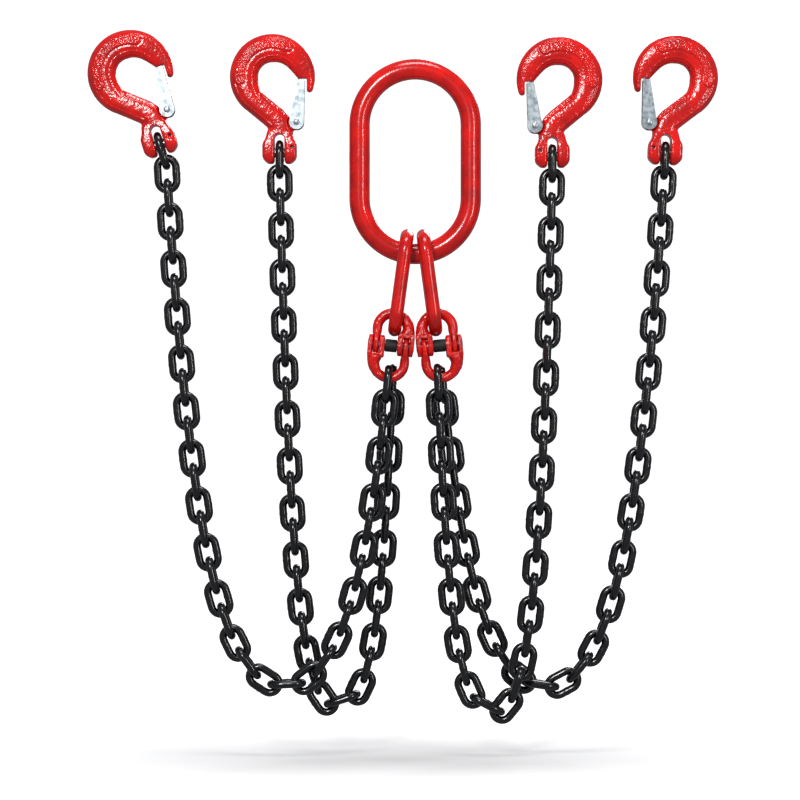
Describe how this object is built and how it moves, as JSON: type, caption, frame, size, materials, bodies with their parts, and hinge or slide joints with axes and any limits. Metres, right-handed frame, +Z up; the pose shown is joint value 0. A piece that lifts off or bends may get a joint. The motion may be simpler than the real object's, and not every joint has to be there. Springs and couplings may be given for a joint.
{
  "type": "four leg chain sling",
  "caption": "Chain sling with oblong master link, sub links, coupling links and clevis sling hooks with spring latches, hung up by its hooks",
  "frame": {"origin": "the seat inside the top of the master link, where the crane hook bears", "axes": "+Z up along the master link, +X to the right across the spread of the legs, +Y to the back"},
  "size_m": [0.6355, 0.071, 0.6962],
  "materials": {
    "red_paint": "gloss",
    "black_chain": "gloss",
    "black_sleeve": "matte",
    "dark_steel": "satin",
    "zinc": "satin",
    "spring_steel": "satin"
  },
  "bodies": {
    "master_link": {"master_link": "red_paint"},
    "sub_link_left": {"sub_link_left": "red_paint"},
    "sub_link_right": {"sub_link_right": "red_paint"},
    "connector_1_upper": {"connector_1_upper_half": "red_paint", "connector_1_load_pin": "dark_steel", "connector_1_sleeve": "black_sleeve"},
    "connector_1_lower": {"connector_1_lower_half": "red_paint"},
    "chain_1_a": {"chain_1_a": "black_chain"},
    "chain_1_b": {"chain_1_b": "black_chain"},
    "chain_1_c": {"chain_1_c": "black_chain"},
    "chain_1_d": {"chain_1_d": "black_chain"},
    "hook_1": {"hook_1_body": "red_paint", "hook_1_clevis_pin": "dark_steel", "hook_1_roll_pin": "dark_steel", "hook_1_latch_pin": "zinc", "hook_1_latch_spring": "spring_steel"},
    "latch_1": {"hook_1_latch": "zinc"},
    "connector_2_upper": {"connector_2_upper_half": "red_paint", "connector_2_load_pin": "dark_steel", "connector_2_sleeve": "black_sleeve"},
    "connector_2_lower": {"connector_2_lower_half": "red_paint"},
    "chain_2_a": {"chain_2_a": "black_chain"},
    "chain_2_b": {"chain_2_b": "black_chain"},
    "chain_2_c": {"chain_2_c": "black_chain"},
    "chain_2_d": {"chain_2_d": "black_chain"},
    "hook_2": {"hook_2_body": "red_paint", "hook_2_clevis_pin": "dark_steel", "hook_2_roll_pin": "dark_steel", "hook_2_latch_pin": "zinc", "hook_2_latch_spring": "spring_steel"},
    "latch_2": {"hook_2_latch": "zinc"},
    "connector_3_upper": {"connector_3_upper_half": "red_paint", "connector_3_load_pin": "dark_steel", "connector_3_sleeve": "black_sleeve"},
    "connector_3_lower": {"connector_3_lower_half": "red_paint"},
    "chain_3_a": {"chain_3_a": "black_chain"},
    "chain_3_b": {"chain_3_b": "black_chain"},
    "chain_3_c": {"chain_3_c": "black_chain"},
    "chain_3_d": {"chain_3_d": "black_chain"},
    "hook_3": {"hook_3_body": "red_paint", "hook_3_clevis_pin": "dark_steel", "hook_3_roll_pin": "dark_steel", "hook_3_latch_pin": "zinc", "hook_3_latch_spring": "spring_steel"},
    "latch_3": {"hook_3_latch": "zinc"},
    "connector_4_upper": {"connector_4_upper_half": "red_paint", "connector_4_load_pin": "dark_steel", "connector_4_sleeve": "black_sleeve"},
    "connector_4_lower": {"connector_4_lower_half": "red_paint"},
    "chain_4_a": {"chain_4_a": "black_chain"},
    "chain_4_b": {"chain_4_b": "black_chain"},
    "chain_4_c": {"chain_4_c": "black_chain"},
    "chain_4_d": {"chain_4_d": "black_chain"},
    "hook_4": {"hook_4_body": "red_paint", "hook_4_clevis_pin": "dark_steel", "hook_4_roll_pin": "dark_steel", "hook_4_latch_pin": "zinc", "hook_4_latch_spring": "spring_steel"},
    "latch_4": {"hook_4_latch": "zinc"}
  },
  "joints": [
    {"name": "sub_link_left_swing", "type": "hinge", "parent": "master_link", "child": "sub_link_left", "pos_m": [-0.0081, 0, -0.15722], "axis": [0, 1, 0], "range_deg": [0, 10]},
    {"name": "sub_link_right_swing", "type": "hinge", "parent": "master_link", "child": "sub_link_right", "pos_m": [0.0081, 0, -0.15722], "axis": [0, -1, 0], "range_deg": [0, 10]},
    {"name": "connector_1_swing", "type": "hinge", "parent": "sub_link_left", "child": "connector_1_upper", "pos_m": [-0.02047, -0.014, -0.2499], "axis": [0, 1, 0], "range_deg": [0, 8]},
    {"name": "connector_1_fold", "type": "hinge", "parent": "connector_1_upper", "child": "connector_1_lower", "pos_m": [-0.02441, -0.014, -0.26792], "axis": [-0.9954, 0, 0.0958], "range_deg": [0, 30]},
    {"name": "chain_1_a_bend", "type": "hinge", "parent": "connector_1_lower", "child": "chain_1_a", "pos_m": [-0.02665, -0.014, -0.29121], "axis": [0, 1, 0], "range_deg": [-1, 12]},
    {"name": "chain_1_b_bend", "type": "hinge", "parent": "chain_1_a", "child": "chain_1_b", "pos_m": [-0.08204, -0.014, -0.57072], "axis": [0, -1, 0], "range_deg": [-1, 50]},
    {"name": "chain_1_c_bend", "type": "hinge", "parent": "chain_1_b", "child": "chain_1_c", "pos_m": [-0.14492, -0.014, -0.60764], "axis": [0, -1, 0], "range_deg": [-1, 50]},
    {"name": "chain_1_d_bend", "type": "hinge", "parent": "chain_1_c", "child": "chain_1_d", "pos_m": [-0.18392, -0.014, -0.55916], "axis": [0, -1, 0], "range_deg": [-1, 50]},
    {"name": "hook_1_tilt", "type": "hinge", "parent": "chain_1_d", "child": "hook_1", "pos_m": [-0.256, -0.014, -0.0664], "axis": [0.9563, 0, 0.2924], "range_deg": [-40, 40]},
    {"name": "latch_1_open", "type": "hinge", "parent": "hook_1", "child": "latch_1", "pos_m": [-0.24849, -0.014, -0.03179], "axis": [0, -1, 0], "range_deg": [0, 30], "stiffness_Nm_per_rad": 0.12, "springref_deg": -28.65, "deforming": ["hook_1_latch_spring"]},
    {"name": "connector_2_swing", "type": "hinge", "parent": "sub_link_left", "child": "connector_2_upper", "pos_m": [-0.02047, 0.014, -0.2499], "axis": [0, 1, 0], "range_deg": [0, 8]},
    {"name": "connector_2_fold", "type": "hinge", "parent": "connector_2_upper", "child": "connector_2_lower", "pos_m": [-0.02441, 0.014, -0.26792], "axis": [0.9954, 0, -0.0958], "range_deg": [0, 30]},
    {"name": "chain_2_a_bend", "type": "hinge", "parent": "connector_2_lower", "child": "chain_2_a", "pos_m": [-0.02209, 0.014, -0.28974], "axis": [0, 1, 0], "range_deg": [-1, 4]},
    {"name": "chain_2_b_bend", "type": "hinge", "parent": "chain_2_a", "child": "chain_2_b", "pos_m": [-0.04399, 0.014, -0.5749], "axis": [0, -1, 0], "range_deg": [-1, 50]},
    {"name": "chain_2_c_bend", "type": "hinge", "parent": "chain_2_b", "child": "chain_2_c", "pos_m": [-0.08901, 0.014, -0.63025], "axis": [0, -1, 0], "range_deg": [-1, 50]},
    {"name": "chain_2_d_bend", "type": "hinge", "parent": "chain_2_c", "child": "chain_2_d", "pos_m": [-0.11051, 0.014, -0.57139], "axis": [0, -1, 0], "range_deg": [-1, 50]},
    {"name": "hook_2_tilt", "type": "hinge", "parent": "chain_2_d", "child": "hook_2", "pos_m": [-0.1371, 0.014, -0.0726], "axis": [1, 0, 0], "range_deg": [-40, 40]},
    {"name": "latch_2_open", "type": "hinge", "parent": "hook_2", "child": "latch_2", "pos_m": [-0.1198, 0.014, -0.0417], "axis": [0, -1, 0], "range_deg": [0, 30], "stiffness_Nm_per_rad": 0.12, "springref_deg": -28.65, "deforming": ["hook_2_latch_spring"]},
    {"name": "connector_3_swing", "type": "hinge", "parent": "sub_link_right", "child": "connector_3_upper", "pos_m": [0.02047, -0.014, -0.2499], "axis": [0, -1, 0], "range_deg": [0, 8]},
    {"name": "connector_3_fold", "type": "hinge", "parent": "connector_3_upper", "child": "connector_3_lower", "pos_m": [0.02441, -0.014, -0.26792], "axis": [-0.9954, 0, -0.0958], "range_deg": [0, 30]},
    {"name": "chain_3_a_bend", "type": "hinge", "parent": "connector_3_lower", "child": "chain_3_a", "pos_m": [0.02209, -0.014, -0.28974], "axis": [0, -1, 0], "range_deg": [-1, 4]},
    {"name": "chain_3_b_bend", "type": "hinge", "parent": "chain_3_a", "child": "chain_3_b", "pos_m": [0.04399, -0.014, -0.57491], "axis": [0, 1, 0], "range_deg": [-1, 50]},
    {"name": "chain_3_c_bend", "type": "hinge", "parent": "chain_3_b", "child": "chain_3_c", "pos_m": [0.08636, -0.014, -0.63523], "axis": [0, 1, 0], "range_deg": [-1, 50]},
    {"name": "chain_3_d_bend", "type": "hinge", "parent": "chain_3_c", "child": "chain_3_d", "pos_m": [0.10979, -0.014, -0.57741], "axis": [0, 1, 0], "range_deg": [-1, 50]},
    {"name": "hook_3_tilt", "type": "hinge", "parent": "chain_3_d", "child": "hook_3", "pos_m": [0.1373, -0.014, -0.0787], "axis": [1, 0, 0], "range_deg": [-40, 40]},
    {"name": "latch_3_open", "type": "hinge", "parent": "hook_3", "child": "latch_3", "pos_m": [0.12, -0.014, -0.0478], "axis": [0, 1, 0], "range_deg": [0, 30], "stiffness_Nm_per_rad": 0.12, "springref_deg": -28.65, "deforming": ["hook_3_latch_spring"]},
    {"name": "connector_4_swing", "type": "hinge", "parent": "sub_link_right", "child": "connector_4_upper", "pos_m": [0.02047, 0.014, -0.2499], "axis": [0, -1, 0], "range_deg": [0, 8]},
    {"name": "connector_4_fold", "type": "hinge", "parent": "connector_4_upper", "child": "connector_4_lower", "pos_m": [0.02441, 0.014, -0.26792], "axis": [0.9954, 0, 0.0958], "range_deg": [0, 30]},
    {"name": "chain_4_a_bend", "type": "hinge", "parent": "connector_4_lower", "child": "chain_4_a", "pos_m": [0.02665, 0.014, -0.29121], "axis": [0, -1, 0], "range_deg": [-1, 12]},
    {"name": "chain_4_b_bend", "type": "hinge", "parent": "chain_4_a", "child": "chain_4_b", "pos_m": [0.08143, 0.014, -0.57093], "axis": [0, 1, 0], "range_deg": [-1, 50]},
    {"name": "chain_4_c_bend", "type": "hinge", "parent": "chain_4_b", "child": "chain_4_c", "pos_m": [0.14257, 0.014, -0.61273], "axis": [0, 1, 0], "range_deg": [-1, 50]},
    {"name": "chain_4_d_bend", "type": "hinge", "parent": "chain_4_c", "child": "chain_4_d", "pos_m": [0.18402, 0.014, -0.56671], "axis": [0, 1, 0], "range_deg": [-1, 50]},
    {"name": "hook_4_tilt", "type": "hinge", "parent": "chain_4_d", "child": "hook_4", "pos_m": [0.2528, 0.014, -0.0735], "axis": [0.999, 0, -0.0436], "range_deg": [-40, 40]},
    {"name": "latch_4_open", "type": "hinge", "parent": "hook_4", "child": "latch_4", "pos_m": [0.23686, 0.014, -0.04188], "axis": [0, 1, 0], "range_deg": [0, 30], "stiffness_Nm_per_rad": 0.12, "springref_deg": -28.65, "deforming": ["hook_4_latch_spring"]}
  ]
}
